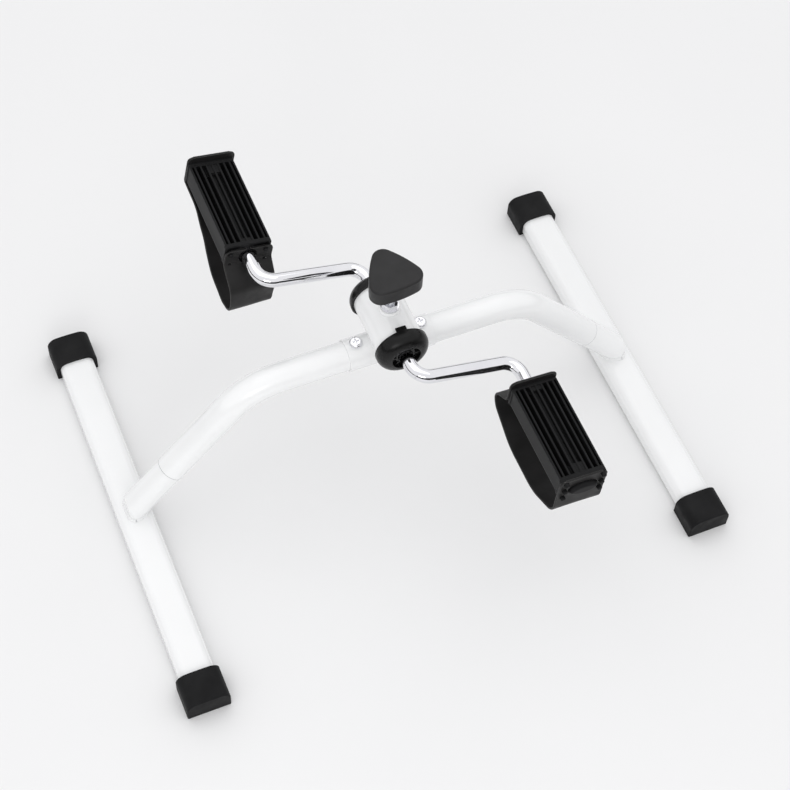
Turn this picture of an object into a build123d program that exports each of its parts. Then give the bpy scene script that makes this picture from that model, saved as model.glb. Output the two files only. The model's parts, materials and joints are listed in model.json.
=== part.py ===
from build123d import *
import math
import os

# Pedal exerciser, millimetres, +Z up. The origin is on the floor, midway between the two crossbars.
# +X runs from the left crossbar to the right one, and the crank axis runs along Y. Front is -Y.

# Base
BASE_LENGTH = 390.0  # over the foot caps, along Y
BAR_CENTRE_X = 234.0  # each crossbar's distance from the middle
BAR_WIDTH = 31.0
BAR_HEIGHT = 18.0
BAR_CROWN = 1.2  # rise of the arched top
BAR_TOP_RADIUS = 7.5
BAR_BOTTOM_RADIUS = 2.0
BAR_WALL = 1.5
CAP_WIDTH = 38.3
CAP_LENGTH = 29.2
CAP_TOP_WALL = 3.0
CAP_END_WALL = 3.0
CAP_SOLE = 2.0
CAP_TOP_RADIUS = 9.5
CAP_EDGE_RADIUS = 1.2
SOLE_GROOVE_WIDTH = 2.0
SOLE_GROOVE_DEPTH = 0.8
SOLE_GROOVE_PITCH = 7.0
SEATING_GAP = 0.1  # between pieces that are pushed together and don't move

# Arms: a bent tube on each side, over a stub that is welded to the crossbar
ARM_RADIUS = 12.7
ARM_WALL = 1.0
ARM_HEIGHT = 154.0  # height of the level run's axis
ARM_INNER_END = 16.0
ARM_BEND_X = 123.5  # where the level run's axis would meet the sloping one
ARM_BEND_RADIUS = 60.0
LEG_FOOT_X = 237.0  # where the sloping axis meets the top of the crossbar
SEAM_X = 197.0  # where the arm ends on the stub
STUB_RADIUS = 12.3
STUB_WALL = 1.3
STUB_NECK_LENGTH = 25.0
FOOT_END_X = 240.0  # outer side of the foot's closed end
FOOT_END_LENGTH = 28.0
FOOT_END_WIDTH = 25.6
FOOT_END_CORNER = 7.0

# Hub
CRANK_HEIGHT = 184.0
SHELL_RADIUS = 20.5
SHELL_WALL = 2.5
SHELL_HALF_LENGTH = 31.0
SLEEVE_RADIUS = 14.0
SLEEVE_WALL = 1.2
SLEEVE_HALF_LENGTH = 38.5
BOLT_X = 29.0
BOLT_RADIUS = 3.0
BOLT_HEAD_RADIUS = 5.7
BOLT_HEAD_HEIGHT = 3.0
BOLT_HOLE_RADIUS = 3.3
BOLT_DEPTH = 12.0  # shank below the head
CROSS_RECESS_LENGTH = 5.6
CROSS_RECESS_WIDTH = 1.3
CROSS_RECESS_DEPTH = 1.8
NUT_WIDTH = 10.0
NUT_HEIGHT = 5.0
NUT_TOP = 10.4  # above the arm's axis

# End caps of the hub: a fat half-round ring with a ribbed recess
END_SKIRT_START = 26.0
END_OUTER_RADIUS = 23.0
END_DOME_RADIUS = 10.4
END_FLOOR = 3.0
END_HOLE_RADIUS = 6.6
END_COLLAR_RADIUS = 8.6
END_COLLAR_HEIGHT = 1.6
END_RIB_COUNT = 8
END_RIB_WIDTH = 1.3
END_RIB_HEIGHT = 2.2
END_TAB_WIDTH = 9.0
END_TAB_LENGTH = 4.0
END_TAB_THICKNESS = 1.7
END_TAB_DROP = 0.3  # below the ring's outer surface

# Inside the hub
RUNNING_CLEARANCE = 0.05
BEARING_START = 17.0
BEARING_END = 29.0
BEARING_SPLIT = 0.1
COLLAR_RADIUS = 9.5
COLLAR_START = 12.5
COLLAR_END = 16.5
DRUM_RADIUS = 8.5
DRUM_HALF_LENGTH = 9.0
SHOE_HALF_WIDTH = 6.0
SHOE_HALF_LENGTH = 7.0
SHOE_THICKNESS = 4.5
SHOE_LIFT = 0.3  # how far the shoe stands off at rest
SHOE_POCKET_DEPTH = 2.5

# Tension screw and knob
SCREW_RADIUS = 4.0
SCREW_TIP_RADIUS = 3.0
SCREW_TIP_LENGTH = 3.0
SCREW_HOLE_RADIUS = 4.5
BOSS_RADIUS = 9.0
BOSS_TOP = 23.0  # above the crank axis
JAM_NUT_WIDTH = 13.0
JAM_NUT_HEIGHT = 5.5
JAM_NUT_FLANGE_RADIUS = 7.8
JAM_NUT_FLANGE_HEIGHT = 1.5
KNOB_TOP = 254.0
KNOB_THICKNESS = 15.0
KNOB_SHARP_REACH = 29.8  # from the screw to where two sides would meet without a round corner
KNOB_CORNER_RADIUS = 9.5
KNOB_SIDE_BULGE = 3.4
KNOB_TURN = 94.0  # direction of the first corner, degrees from +X
KNOB_EDGE_RADIUS = 2.0
KNOB_WALL = 3.0
KNOB_ROOF = 4.0
KNOB_BOSS_RADIUS = 8.0
KNOB_GRIP = 10.0  # length of screw held in the knob

# Crank: one bent rod
ROD_RADIUS = 6.0
CRANK_THROW = 93.2
CRANK_ANGLE = 14.07  # how far the front arm points below +X, degrees
CRANK_ARM_Y = 60.2
CRANK_BEND_RADIUS = 14.0
ROD_END_Y = 181.0

# Pedals, drawn along +Y about their own axis and then placed on the crank
PEDAL_INNER = 92.0
PEDAL_OUTER = 187.0
PEDAL_WIDTH = 40.0
PEDAL_HEIGHT = 25.0
PEDAL_TOP_RADIUS = 0.8
PEDAL_BOTTOM_RADIUS = 8.0
PEDAL_TILTS = {"front": 4.0, "rear": 10.3}  # turn about +Y out of level, degrees
FLANGE_LENGTH = 3.0
FLANGE_WIDTH = 41.0
FLANGE_HEIGHT = 26.0
FLANGE_TOP_RADIUS = 3.0
FACE_RECESS_DEPTH = 1.5
FACE_RIM = 2.0
SLOT_START = 95.0
SLOT_END = 182.5
SLOT_WIDE = 3.7
SLOT_NARROW = 2.0
RIB_THICKNESS = 1.5
WIDE_SLOTS = 6
AXLE_TUBE_RADIUS = 8.6
AXLE_BORE_RADIUS = 7.2
END_BOSS_RADIUS = 10.6
INNER_BOSS_LENGTH = 7.5
OUTER_BOSS_START = 172.5
BRIDGE_HALF_WIDTH = 4.5  # solid blocks across the two middle slots, at both ends
BRIDGE_TOP = 11.6
INNER_BRIDGE_END = 99.0
OUTER_BRIDGE_START = 173.5
CLIP_POCKET_RADIUS = 9.4
CLIP_POCKET_START = 175.0
BUSH_LENGTH = 12.0
BUSH_FLANGE_RADIUS = 9.3
BUSH_FLANGE_LENGTH = 1.4
WASHER_RADIUS = 8.6
WASHER_LENGTH = 1.0
CLIP_RADIUS = 8.2
CLIP_LENGTH = 1.3
AXIAL_GAP = 0.35
STUD_X = 15.5
STUD_RADIUS = 2.0
STUD_REACH = 5.0
INNER_STUD_HEIGHTS = (4.0, -8.0)
PEG_X = 16.5
PEG_RADIUS = 2.1
PEG_REACH = 7.0
PEG_TIP_RADIUS = 1.2
OUTER_PEG_HEIGHTS = (11.0, 1.0, -8.5)
OVAL_WIDTH = 25.0
OVAL_HEIGHT = 13.0
OVAL_LENGTH = 7.4  # from the recess floor to the crest
OVAL_EDGE_RADIUS = 3.0
OVAL_SPIGOT_LENGTH = 3.0

# Foot straps: one flat band each, its line given in the pedal's own (Y, Z) plane
STRAP_WIDTH = 43.0
STRAP_SHIFT = 1.3  # the band sits this far off the pedal's middle, across it
STRAP_THICKNESS = 2.0
STRAP_STANDOFF = 1.1  # from a pedal's end face to the middle of the band
STRAP_TAB_CORNER = 5.0
STRAP_CRANK_HOLE = 8.2
STRAP_HOLE_RADIUS = 2.4
STRAP_WINDOW_GAP = 0.8  # round the oval end cap
INNER_FACE_Y = PEDAL_INNER - STRAP_STANDOFF
OUTER_FACE_Y = PEDAL_OUTER + STRAP_STANDOFF
STRAP_LINES = {
    "front": [
        (INNER_FACE_Y, 18.0),
        (INNER_FACE_Y, -5.0),
        (71.5, -19.5),
        (78.5, -31.5),
        (112.0, -45.0),
        (157.0, -45.5),
        (189.0, -28.5),
        (OUTER_FACE_Y, -9.0),
        (OUTER_FACE_Y, 13.5),
    ],
    "rear": [
        (OUTER_FACE_Y, 18.0),
        (OUTER_FACE_Y, -14.6),
        (155.0, -15.6),
        (134.0, -22.5),
        (109.0, -42.5),
        (87.0, -48.5),
        (69.5, -44.0),
        (71.5, -19.0),
        (INNER_FACE_Y, -7.0),
        (INNER_FACE_Y, 8.0),
    ],
}
STRAP_RADII = {
    "front": [8.0, 9.0, 12.0, 50.0, 40.0, 14.0, 3.0],
    "rear": [2.0, 25.0, 30.0, 35.0, 12.0, 9.0, 9.0, 6.0],
}

# Derived places
BAR_TOP = CAP_SOLE + BAR_HEIGHT
LEG_SLOPE = math.atan2(ARM_HEIGHT - BAR_TOP, LEG_FOOT_X - ARM_BEND_X)
LEG_DOWN = Vector(math.cos(LEG_SLOPE), 0, -math.sin(LEG_SLOPE))
SEAM_POINT = Vector(ARM_BEND_X, 0, ARM_HEIGHT) + LEG_DOWN * ((SEAM_X - ARM_BEND_X) / math.cos(LEG_SLOPE))
LEG_FOOT = Vector(LEG_FOOT_X, 0, BAR_TOP)
SLEEVE_TOP = ARM_HEIGHT + SLEEVE_RADIUS
THROW_X = CRANK_THROW * math.cos(math.radians(CRANK_ANGLE))
THROW_Z = CRANK_THROW * math.sin(math.radians(CRANK_ANGLE))
KNOB_BOTTOM = KNOB_TOP - KNOB_THICKNESS
SHOE_ARC_RADIUS = DRUM_RADIUS + 2 * RUNNING_CLEARANCE
SHOE_BOTTOM = CRANK_HEIGHT + SHOE_LIFT + SHOE_ARC_RADIUS
SHOE_TOP = SHOE_BOTTOM + SHOE_THICKNESS
FIXED_RADIUS = ROD_RADIUS + RUNNING_CLEARANCE / 2  # bore of what is pressed on the rod


def along_y(radius, start, end, x=0.0, z=0.0):
    """A round bar along Y, from start to end."""
    place = Plane(origin=(x, start, z), x_dir=(1, 0, 0), z_dir=(0, 1, 0))
    return extrude(place * Circle(radius), end - start)


def along_x(radius, start, end, y=0.0, z=0.0):
    """A round bar along X, from start to end."""
    place = Plane(origin=(start, y, z), x_dir=(0, 1, 0), z_dir=(1, 0, 0))
    return extrude(place * Circle(radius), end - start)


def along_z(radius, start, end, x=0.0, y=0.0):
    """A round bar along Z, from start to end."""
    return extrude(Pos(x, y, start) * Circle(radius), end - start)


def block(x_range, y_range, z_range):
    """A box between the given limits."""
    sizes = [high - low for low, high in (x_range, y_range, z_range)]
    middle = [(high + low) / 2 for low, high in (x_range, y_range, z_range)]
    return Pos(*middle) * Box(*sizes)


def group(solids):
    """Several separate solids as one node."""
    return Compound(children=list(solids))


def mirrored_y(shape):
    """The rear piece from the front one, or the other way round."""
    return mirror(shape, about=Plane.XZ)


def loaf_face(width, low, high, crown, top_radius, bottom_radius, place):
    """Flat-bottomed section with an arched top and rounded shoulders."""
    half = width / 2
    outline = Polyline((-half, high - crown), (-half, low), (half, low), (half, high - crown))
    top = ThreePointArc((half, high - crown), (0, high), (-half, high - crown))
    face = make_face(outline + top)
    corners = face.vertices().sort_by(Axis.Y)
    face = fillet(corners[2:], top_radius)
    face = fillet(face.vertices().sort_by(Axis.Y)[:2], bottom_radius)
    return place * face


def crossbar(side):
    """Hollow floor tube, on the side given by the sign of X."""
    half = BASE_LENGTH / 2 - CAP_END_WALL - SEATING_GAP
    place = Plane(origin=(side * BAR_CENTRE_X, half, 0), x_dir=(1, 0, 0), z_dir=(0, -1, 0))
    outer = loaf_face(
        BAR_WIDTH, CAP_SOLE, BAR_TOP, BAR_CROWN, BAR_TOP_RADIUS, BAR_BOTTOM_RADIUS, place
    )
    inner = loaf_face(
        BAR_WIDTH - 2 * BAR_WALL,
        CAP_SOLE + BAR_WALL,
        BAR_TOP - BAR_WALL,
        BAR_CROWN,
        BAR_TOP_RADIUS - BAR_WALL,
        BAR_BOTTOM_RADIUS / 2,
        place,
    )
    return extrude(outer, 2 * half) - extrude(inner, 2 * half)


def foot_cap(side, end):
    """Rubber cap with a grooved sole, pushed over one end of a crossbar."""
    start = BASE_LENGTH / 2
    place = Plane(origin=(side * BAR_CENTRE_X, start, 0), x_dir=(1, 0, 0), z_dir=(0, -1, 0))
    body = extrude(
        loaf_face(
            CAP_WIDTH, 0, BAR_TOP + CAP_TOP_WALL, BAR_CROWN, CAP_TOP_RADIUS, CAP_EDGE_RADIUS, place
        ),
        CAP_LENGTH,
    )
    end_edges = body.faces().sort_by(Axis.Y)[-1].edges()
    body = fillet(end_edges.filter_by(lambda edge: edge.center().Z > CAP_EDGE_RADIUS), CAP_EDGE_RADIUS)
    deeper = place.offset(CAP_END_WALL)
    socket = loaf_face(
        BAR_WIDTH + 2 * SEATING_GAP,
        CAP_SOLE - SEATING_GAP,
        BAR_TOP + SEATING_GAP,
        BAR_CROWN,
        BAR_TOP_RADIUS,
        BAR_BOTTOM_RADIUS,
        deeper,
    )
    body -= extrude(socket, CAP_LENGTH)
    middle = start - CAP_LENGTH / 2
    for step in (-1, 0, 1):
        y = middle + step * SOLE_GROOVE_PITCH
        body -= block(
            (side * BAR_CENTRE_X - CAP_WIDTH, side * BAR_CENTRE_X + CAP_WIDTH),
            (y - SOLE_GROOVE_WIDTH / 2, y + SOLE_GROOVE_WIDTH / 2),
            (-1, SOLE_GROOVE_DEPTH),
        )
    return body if end > 0 else mirrored_y(body)


def swept_tube(path, radius):
    """A round bar along a path of straight runs and tangent arcs."""
    start = Plane(origin=path @ 0, z_dir=path % 0)
    return sweep(start * Circle(radius), path=path)


def arm_tube(side):
    """Bent arm tube, drilled from above for its bolt."""
    path = FilletPolyline(
        (ARM_INNER_END, 0, ARM_HEIGHT), (ARM_BEND_X, 0, ARM_HEIGHT), SEAM_POINT, radius=ARM_BEND_RADIUS
    )
    tube = swept_tube(path, ARM_RADIUS) - swept_tube(path, ARM_RADIUS - ARM_WALL)
    tube -= along_z(BOLT_HOLE_RADIUS, ARM_HEIGHT, SLEEVE_TOP, BOLT_X)
    return tube if side > 0 else mirror(tube, about=Plane.YZ)


def leg_plane(point):
    """A plane square to the sloping leg, facing up the leg."""
    return Plane(origin=point, x_dir=(0, 1, 0), z_dir=LEG_DOWN * -1)


def foot_end_block(inset):
    """An upright block with round corners that bounds the foot's outer end, drawn in by the inset."""
    length = FOOT_END_LENGTH - 2 * inset
    width = FOOT_END_WIDTH - 2 * inset
    place = Pos(FOOT_END_X - FOOT_END_LENGTH / 2, 0, 0)
    return extrude(place * RectangleRounded(length, width, FOOT_END_CORNER - inset), ARM_HEIGHT)


def stub(side):
    """Stub with a reduced neck. Its foot sits on the crossbar and has a rounded, closed end."""
    visible = (LEG_FOOT - SEAM_POINT).length
    buried = BAR_WIDTH
    foot = leg_plane(LEG_FOOT + LEG_DOWN * buried)
    length = visible + buried - SEATING_GAP
    neck_radius = ARM_RADIUS - ARM_WALL - SEATING_GAP
    body = extrude(foot * Circle(STUB_RADIUS), length)
    body += extrude(foot * Circle(neck_radius), length + STUB_NECK_LENGTH)
    body -= extrude(foot * Circle(STUB_RADIUS - STUB_WALL), length - STUB_NECK_LENGTH)
    body -= extrude(foot * Circle(neck_radius - STUB_WALL), length + STUB_NECK_LENGTH)
    half = BASE_LENGTH / 2
    place = Plane(origin=(BAR_CENTRE_X, half, 0), x_dir=(1, 0, 0), z_dir=(0, -1, 0))
    bar_space = loaf_face(
        BAR_WIDTH, CAP_SOLE, BAR_TOP, BAR_CROWN, BAR_TOP_RADIUS, BAR_BOTTOM_RADIUS, place
    )
    outward = block((FOOT_END_X - FOOT_END_LENGTH / 2, 2 * BAR_CENTRE_X), (-half, half), (-half, half))
    foot_end = foot_end_block(0)
    end_wall = extrude(foot * Circle(STUB_RADIUS), length) & outward & (foot_end - foot_end_block(STUB_WALL))
    body = body - (outward - foot_end) + end_wall
    body -= extrude(bar_space, BASE_LENGTH)
    body = body.solids().sort_by(SortBy.VOLUME)[-1]
    return body if side > 0 else mirror(body, about=Plane.YZ)


def hub_shell():
    """Round housing along the crank, drilled above for the tension screw."""
    shell = along_y(SHELL_RADIUS, -SHELL_HALF_LENGTH, SHELL_HALF_LENGTH, 0, CRANK_HEIGHT)
    shell -= along_y(SHELL_RADIUS - SHELL_WALL, -SHELL_HALF_LENGTH, SHELL_HALF_LENGTH, 0, CRANK_HEIGHT)
    shell -= along_z(SCREW_HOLE_RADIUS, CRANK_HEIGHT, CRANK_HEIGHT + 2 * SHELL_RADIUS)
    return shell


def shell_space():
    """The room that the housing and its welded seat take up."""
    return along_y(SHELL_RADIUS + SEATING_GAP / 2, -SLEEVE_HALF_LENGTH, SLEEVE_HALF_LENGTH, 0, CRANK_HEIGHT)


def cross_sleeve():
    """Sleeve under the housing that both arms plug into."""
    sleeve = along_x(SLEEVE_RADIUS, -SLEEVE_HALF_LENGTH, SLEEVE_HALF_LENGTH, 0, ARM_HEIGHT)
    sleeve -= along_x(SLEEVE_RADIUS - SLEEVE_WALL, -SLEEVE_HALF_LENGTH, SLEEVE_HALF_LENGTH, 0, ARM_HEIGHT)
    for side in (-1, 1):
        sleeve -= along_z(BOLT_HOLE_RADIUS, ARM_HEIGHT, SLEEVE_TOP + 1, side * BOLT_X)
    return sleeve - shell_space()


def arm_bolt(side):
    """Pan-head bolt with a cross recess, pointing down into the arm."""
    seat = SLEEVE_TOP + SEATING_GAP / 2
    top = seat + BOLT_HEAD_HEIGHT
    head = along_z(BOLT_HEAD_RADIUS, seat, top, side * BOLT_X)
    head = fillet(head.edges().sort_by(Axis.Z)[-1], BOLT_HEAD_HEIGHT * 0.7)
    bolt = head + along_z(BOLT_RADIUS, seat - BOLT_DEPTH, seat, side * BOLT_X)
    for turn in (0, 90):
        bar = Box(CROSS_RECESS_LENGTH, CROSS_RECESS_WIDTH, 2 * CROSS_RECESS_DEPTH)
        bolt -= Pos(side * BOLT_X, 0, top) * Rot(0, 0, turn) * bar
    return bolt


def arm_nut(side):
    """Square nut inside the arm tube."""
    top = ARM_HEIGHT + NUT_TOP
    half = NUT_WIDTH / 2
    nut = block((side * BOLT_X - half, side * BOLT_X + half), (-half, half), (top - NUT_HEIGHT, top))
    return nut - along_z(BOLT_RADIUS + RUNNING_CLEARANCE, top - NUT_HEIGHT, top, side * BOLT_X)


def end_cap():
    """Rear end cap: half-round ring, ribbed recess, and a locating tab over the housing."""
    seat = SHELL_HALF_LENGTH + SEATING_GAP
    skirt = SHELL_RADIUS + SEATING_GAP
    dome_centre = END_OUTER_RADIUS - END_DOME_RADIUS
    dome_start = seat - END_FLOOR
    crest = dome_start + END_DOME_RADIUS
    diagonal = END_DOME_RADIUS * math.sqrt(0.5)
    floor = seat + END_FLOOR
    outline = Polyline(
        (dome_centre, crest),
        (dome_centre, floor),
        (END_COLLAR_RADIUS, floor),
        (END_COLLAR_RADIUS, floor + END_COLLAR_HEIGHT),
        (END_HOLE_RADIUS, floor + END_COLLAR_HEIGHT),
        (END_HOLE_RADIUS, seat),
        (skirt, seat),
        (skirt, END_SKIRT_START),
        (END_OUTER_RADIUS, END_SKIRT_START),
        (END_OUTER_RADIUS, dome_start),
    )
    dome = ThreePointArc(
        (END_OUTER_RADIUS, dome_start),
        (dome_centre + diagonal, dome_start + diagonal),
        (dome_centre, crest),
    )
    cap = Pos(0, 0, CRANK_HEIGHT) * revolve(make_face(outline + dome), axis=Axis.Y)
    for index in range(END_RIB_COUNT):
        rib = block(
            (END_COLLAR_RADIUS - END_RIB_WIDTH / 2, dome_centre + END_RIB_WIDTH / 2),
            (seat + END_FLOOR / 2, floor + END_RIB_HEIGHT),
            (-END_RIB_WIDTH / 2, END_RIB_WIDTH / 2),
        )
        cap += Pos(0, 0, CRANK_HEIGHT) * Rot(0, index * 360 / END_RIB_COUNT, 0) * rib
    tab_top = CRANK_HEIGHT + END_OUTER_RADIUS - END_TAB_DROP
    cap += block(
        (-END_TAB_WIDTH / 2, END_TAB_WIDTH / 2),
        (END_SKIRT_START - END_TAB_LENGTH, END_SKIRT_START + END_TAB_LENGTH / 2),
        (tab_top - END_TAB_THICKNESS, tab_top),
    )
    return cap


def bearing():
    """Rear bearing: two half shells that clip round the crank inside the housing."""
    outer = SHELL_RADIUS - SHELL_WALL - SEATING_GAP / 2
    ring = along_y(outer, BEARING_START, BEARING_END, 0, CRANK_HEIGHT)
    ring -= along_y(ROD_RADIUS + RUNNING_CLEARANCE, BEARING_START, BEARING_END, 0, CRANK_HEIGHT)
    spread = 2 * outer
    split = block(
        (-spread, spread),
        (BEARING_START - 1, BEARING_END + 1),
        (CRANK_HEIGHT - BEARING_SPLIT / 2, CRANK_HEIGHT + BEARING_SPLIT / 2),
    )
    return group((ring - split).solids())


def ring_along_y(outer, inner, start, end, x=0.0, z=0.0):
    """A flat ring or collar about an axis along Y."""
    return along_y(outer, start, end, x, z) - along_y(inner, start - 1, end + 1, x, z)


def shaft_collars():
    """Two collars on the crank that keep it centred between the bearings."""
    rear = ring_along_y(COLLAR_RADIUS, FIXED_RADIUS, COLLAR_START, COLLAR_END, 0, CRANK_HEIGHT)
    return group([rear, mirrored_y(rear)])


def brake_drum():
    """Friction sleeve on the crank, under the shoe."""
    return ring_along_y(
        DRUM_RADIUS, FIXED_RADIUS, -DRUM_HALF_LENGTH, DRUM_HALF_LENGTH, 0, CRANK_HEIGHT
    )


def brake_shoe():
    """Nylon block with a hollowed underside and a pocket for the screw's tip."""
    shoe = block(
        (-SHOE_HALF_WIDTH, SHOE_HALF_WIDTH),
        (-SHOE_HALF_LENGTH, SHOE_HALF_LENGTH),
        (CRANK_HEIGHT + DRUM_RADIUS / 2, SHOE_TOP),
    )
    reach = 2 * SHOE_HALF_LENGTH
    shoe -= along_y(SHOE_ARC_RADIUS, -reach, reach, 0, CRANK_HEIGHT + SHOE_LIFT)
    pocket = SCREW_TIP_RADIUS + RUNNING_CLEARANCE
    shoe -= along_z(pocket, SHOE_TOP - SHOE_POCKET_DEPTH, SHOE_TOP + 1)
    return shoe


def tension_screw():
    """Screw with a reduced tip that turns in the shoe's pocket."""
    tip = SHOE_TOP - SHOE_POCKET_DEPTH + RUNNING_CLEARANCE
    shoulder = tip + SCREW_TIP_LENGTH
    screw = along_z(SCREW_TIP_RADIUS, tip, shoulder)
    return screw + along_z(SCREW_RADIUS, shoulder, KNOB_BOTTOM + KNOB_GRIP)


def screw_boss():
    """Round threaded boss on top of the housing."""
    top = CRANK_HEIGHT + BOSS_TOP
    boss = along_z(BOSS_RADIUS, CRANK_HEIGHT, top) - shell_space()
    boss = fillet(boss.edges().sort_by(Axis.Z)[-1], 1.0)
    return boss - along_z(SCREW_RADIUS + RUNNING_CLEARANCE, CRANK_HEIGHT, top)


def jam_nut():
    """Flanged hexagon nut on the boss, round the screw."""
    seat = CRANK_HEIGHT + BOSS_TOP + SEATING_GAP / 2
    nut = along_z(JAM_NUT_FLANGE_RADIUS, seat, seat + JAM_NUT_FLANGE_HEIGHT)
    hexagon = RegularPolygon(JAM_NUT_WIDTH / 2, 6, major_radius=False)
    nut += extrude(Pos(0, 0, seat) * hexagon, JAM_NUT_FLANGE_HEIGHT + JAM_NUT_HEIGHT)
    return nut - along_z(SCREW_RADIUS + RUNNING_CLEARANCE, seat - 1, seat + 2 * JAM_NUT_HEIGHT)


def knob_face(inset):
    """Three-cornered outline with swollen sides and round corners, drawn in by the inset."""
    corners = []
    for index in range(3):
        angle = math.radians(KNOB_TURN + index * 120)
        corners.append(Vector(math.cos(angle), math.sin(angle)) * (KNOB_SHARP_REACH - 2 * inset))
    sides = []
    for index in range(3):
        start = corners[index]
        end = corners[(index + 1) % 3]
        middle = (start + end) * 0.5
        sides.append(ThreePointArc(start, middle + middle.normalized() * KNOB_SIDE_BULGE, end))
    face = make_face(sides)
    return fillet(face.vertices(), KNOB_CORNER_RADIUS - inset)


def tension_knob():
    """Moulded knob, hollow underneath, with a central boss on the screw."""
    knob = extrude(Pos(0, 0, KNOB_BOTTOM) * knob_face(0), KNOB_THICKNESS)
    knob = fillet(knob.faces().sort_by(Axis.Z)[-1].edges(), KNOB_EDGE_RADIUS)
    knob -= extrude(Pos(0, 0, KNOB_BOTTOM) * knob_face(KNOB_WALL), KNOB_THICKNESS - KNOB_ROOF)
    knob += along_z(KNOB_BOSS_RADIUS, KNOB_BOTTOM, KNOB_TOP - KNOB_ROOF / 2)
    return knob - along_z(SCREW_RADIUS + RUNNING_CLEARANCE, KNOB_BOTTOM, KNOB_BOTTOM + KNOB_GRIP + SEATING_GAP)


def crank_rod():
    """One rod: through the hub, out along two opposite arms and into both pedals."""
    front_x, front_z = THROW_X, CRANK_HEIGHT - THROW_Z
    rear_x, rear_z = -THROW_X, CRANK_HEIGHT + THROW_Z
    path = FilletPolyline(
        (front_x, -ROD_END_Y, front_z),
        (front_x, -CRANK_ARM_Y, front_z),
        (0, -CRANK_ARM_Y, CRANK_HEIGHT),
        (0, CRANK_ARM_Y, CRANK_HEIGHT),
        (rear_x, CRANK_ARM_Y, rear_z),
        (rear_x, ROD_END_Y, rear_z),
        radius=CRANK_BEND_RADIUS,
    )
    rod = swept_tube(path, ROD_RADIUS)
    ends = rod.faces().filter_by(GeomType.PLANE)
    return chamfer(ends.edges(), ROD_RADIUS / 6)


def pedal_place(end):
    """Where a pedal drawn along +Y about its own axis goes on the crank."""
    if end == "front":
        return Pos(THROW_X, 0, CRANK_HEIGHT - THROW_Z) * Rot(0, PEDAL_TILTS[end], 0) * Rot(0, 0, 180)
    return Pos(-THROW_X, 0, CRANK_HEIGHT + THROW_Z) * Rot(0, PEDAL_TILTS[end], 0)


def slot_centres():
    """Middle and width of each slot across the tread, from one side to the other."""
    widths = [SLOT_NARROW] + [SLOT_WIDE] * WIDE_SLOTS + [SLOT_NARROW]
    edge = -(sum(widths) + RIB_THICKNESS * (len(widths) - 1)) / 2
    slots = []
    for width in widths:
        slots.append((edge + width / 2, width))
        edge += width + RIB_THICKNESS
    return slots


def pedal_section(width, height, top_radius, bottom_radius, start, length):
    """A bar along Y with the pedal's section: small top corners and large bottom ones."""
    place = Plane(origin=(0, start, 0), x_dir=(1, 0, 0), z_dir=(0, 1, 0))
    bar = extrude(place * Rectangle(width, height), length)
    along = bar.edges().filter_by(Axis.Y).sort_by(Axis.Z)
    bar = fillet(along[:2], bottom_radius)
    return fillet(bar.edges().filter_by(Axis.Y).sort_by(Axis.Z)[-2:], top_radius)


def pedal_flange(start):
    """End plate of a pedal."""
    return pedal_section(
        FLANGE_WIDTH, FLANGE_HEIGHT, FLANGE_TOP_RADIUS, PEDAL_BOTTOM_RADIUS, start, FLANGE_LENGTH
    )


def face_recess(start):
    """The shallow hollow inside an end plate's rim."""
    return pedal_section(
        FLANGE_WIDTH - 2 * FACE_RIM,
        FLANGE_HEIGHT - 2 * FACE_RIM,
        FLANGE_TOP_RADIUS / 2,
        PEDAL_BOTTOM_RADIUS - FACE_RIM,
        start,
        FACE_RECESS_DEPTH,
    )


def pedal_body():
    """Moulded pedal: ribbed tread open from top to bottom, axle tube, end plates and studs."""
    length = PEDAL_OUTER - PEDAL_INNER
    body = pedal_section(
        PEDAL_WIDTH, PEDAL_HEIGHT, PEDAL_TOP_RADIUS, PEDAL_BOTTOM_RADIUS, PEDAL_INNER, length
    )
    for centre, width in slot_centres():
        body -= block(
            (centre - width / 2, centre + width / 2), (SLOT_START, SLOT_END), (-PEDAL_HEIGHT, PEDAL_HEIGHT)
        )
    body += along_y(AXLE_TUBE_RADIUS, PEDAL_INNER, PEDAL_OUTER)
    body += along_y(END_BOSS_RADIUS, PEDAL_INNER, PEDAL_INNER + INNER_BOSS_LENGTH)
    body += along_y(END_BOSS_RADIUS, OUTER_BOSS_START, PEDAL_OUTER)
    bridge_x = (-BRIDGE_HALF_WIDTH, BRIDGE_HALF_WIDTH)
    body += block(bridge_x, (PEDAL_INNER, INNER_BRIDGE_END), (0, BRIDGE_TOP))
    body += block(bridge_x, (OUTER_BRIDGE_START, PEDAL_OUTER), (0, BRIDGE_TOP))
    body += [pedal_flange(PEDAL_INNER), pedal_flange(PEDAL_OUTER - FLANGE_LENGTH)]
    body -= face_recess(PEDAL_INNER)
    body -= face_recess(PEDAL_OUTER - FACE_RECESS_DEPTH)
    inner_floor = PEDAL_INNER + FACE_RECESS_DEPTH
    outer_floor = PEDAL_OUTER - FACE_RECESS_DEPTH
    for side in (-1, 1):
        for height in INNER_STUD_HEIGHTS:
            start = inner_floor - STUD_REACH
            body += along_y(STUD_RADIUS, start, inner_floor + 1, side * STUD_X, height)
        for height in OUTER_PEG_HEIGHTS:
            end = outer_floor + PEG_REACH
            peg = along_y(PEG_RADIUS, outer_floor - 1, end, side * PEG_X, height)
            body += fillet(peg.edges().sort_by(Axis.Y)[-1], PEG_TIP_RADIUS)
    bush_seat = BUSH_FLANGE_LENGTH + SEATING_GAP
    body -= along_y(AXLE_BORE_RADIUS, PEDAL_INNER, PEDAL_OUTER)
    body -= along_y(BUSH_FLANGE_RADIUS + SEATING_GAP, PEDAL_INNER, inner_floor + bush_seat)
    body -= along_y(CLIP_POCKET_RADIUS, CLIP_POCKET_START, PEDAL_OUTER)
    return body


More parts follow.
